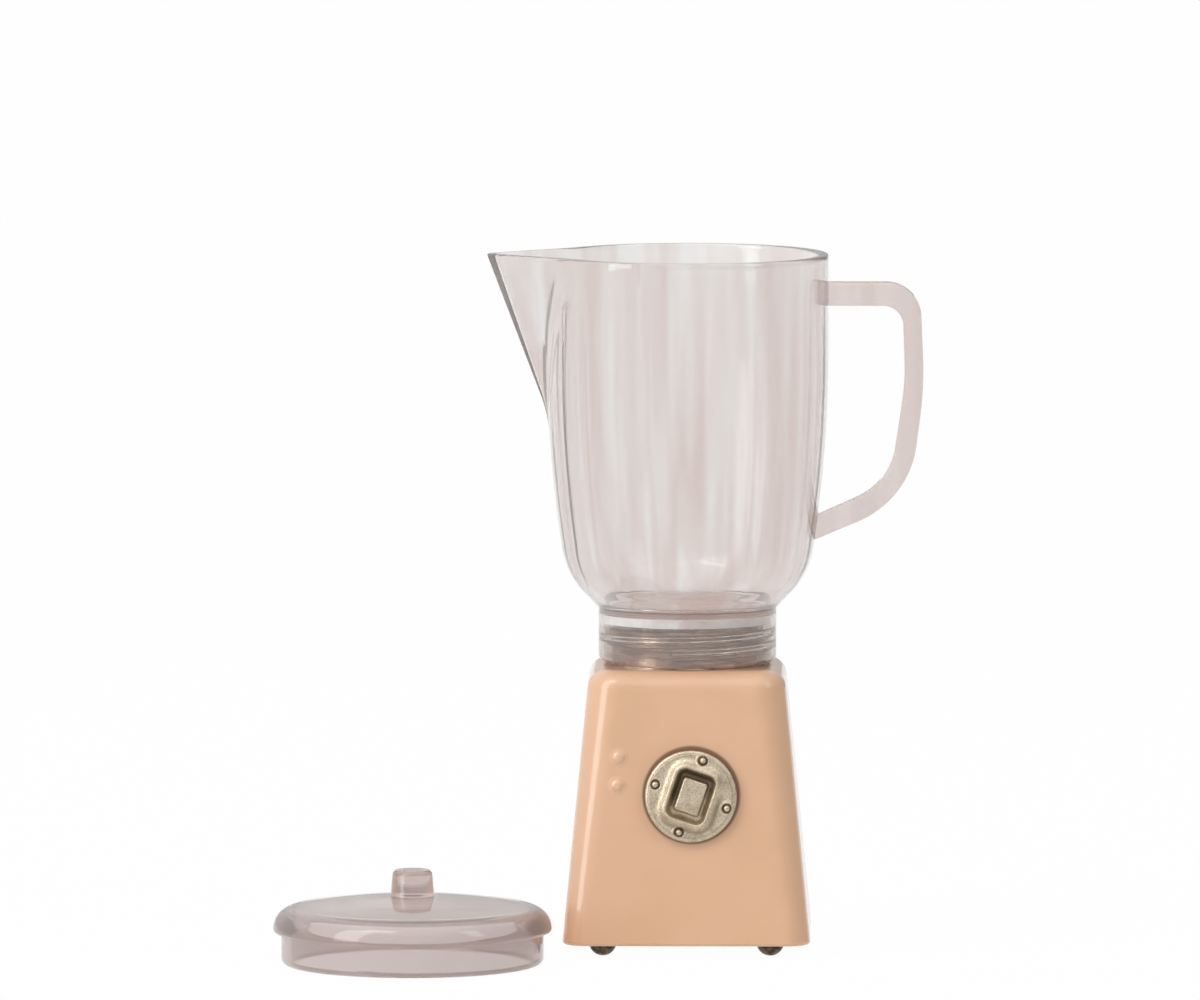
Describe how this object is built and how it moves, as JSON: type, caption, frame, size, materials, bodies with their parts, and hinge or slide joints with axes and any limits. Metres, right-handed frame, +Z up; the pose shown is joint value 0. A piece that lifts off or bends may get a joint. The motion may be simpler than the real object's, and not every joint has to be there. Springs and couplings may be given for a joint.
{
  "type": "toy blender",
  "caption": "Doll's-house blender: leaning square enamelled base with a turning dial, screw-on clear jug with spout and handle, and a lid lying beside it.",
  "frame": {"origin": "on the table, under the middle of the square base, on the jug's axis", "axes": "+Z up along the jug's axis, -Y to the front with the dial, +X towards the jug's handle"},
  "size_m": [0.0835, 0.0566, 0.09],
  "materials": {
    "enamel": "gloss",
    "plate_steel": "satin",
    "neck_metal": "satin",
    "zinc_steel": "satin",
    "bush_brass": "satin",
    "dial_metal": "satin",
    "foot_metal": "satin",
    "seal_rubber": "matte",
    "clear_plastic": "gloss",
    "knob_plastic": "satin"
  },
  "bodies": {
    "base": {"base_shell": "enamel", "base_plate": "plate_steel", "threaded_neck": "neck_metal", "neck_washer": "zinc_steel", "neck_nut": "zinc_steel", "dial_bush": "bush_brass", "foot_front_right": "foot_metal", "foot_front_left": "foot_metal", "foot_back_right": "foot_metal", "foot_back_left": "foot_metal"},
    "dial": {"dial_knob": "dial_metal", "dial_pips": "dial_metal", "dial_spindle": "zinc_steel", "dial_spring": "zinc_steel", "dial_clip": "zinc_steel"},
    "seal": {"jug_seal": "seal_rubber"},
    "jug": {"jug_body": "clear_plastic", "jug_handle": "clear_plastic"},
    "lid": {"lid_cover": "clear_plastic", "lid_knob": "knob_plastic"}
  },
  "joints": [
    {"name": "dial_turn", "type": "hinge", "parent": "base", "child": "dial", "pos_m": [0.0006, -0.01414, 0.02095], "axis": [0, -0.9954, 0.0961], "continuous": true},
    {"name": "jug_rise", "type": "slide", "parent": "base", "child": "seal", "axis": [0, 0, 1], "range_m": [0, 0.0064]},
    {"name": "jug_turn", "type": "hinge", "parent": "seal", "child": "jug", "pos_m": [0, 0, 0.0434], "axis": [0, 0, 1], "range_deg": [0, 1440]},
    {"name": "lid_lift", "type": "slide", "parent": "base", "child": "lid", "axis": [0, 0, 1], "range_m": [0, 0.1]}
  ],
  "couplings": [
    {"joint": "jug_rise", "follows": "jug_turn", "m_per_rad": 0.00025465}
  ]
}
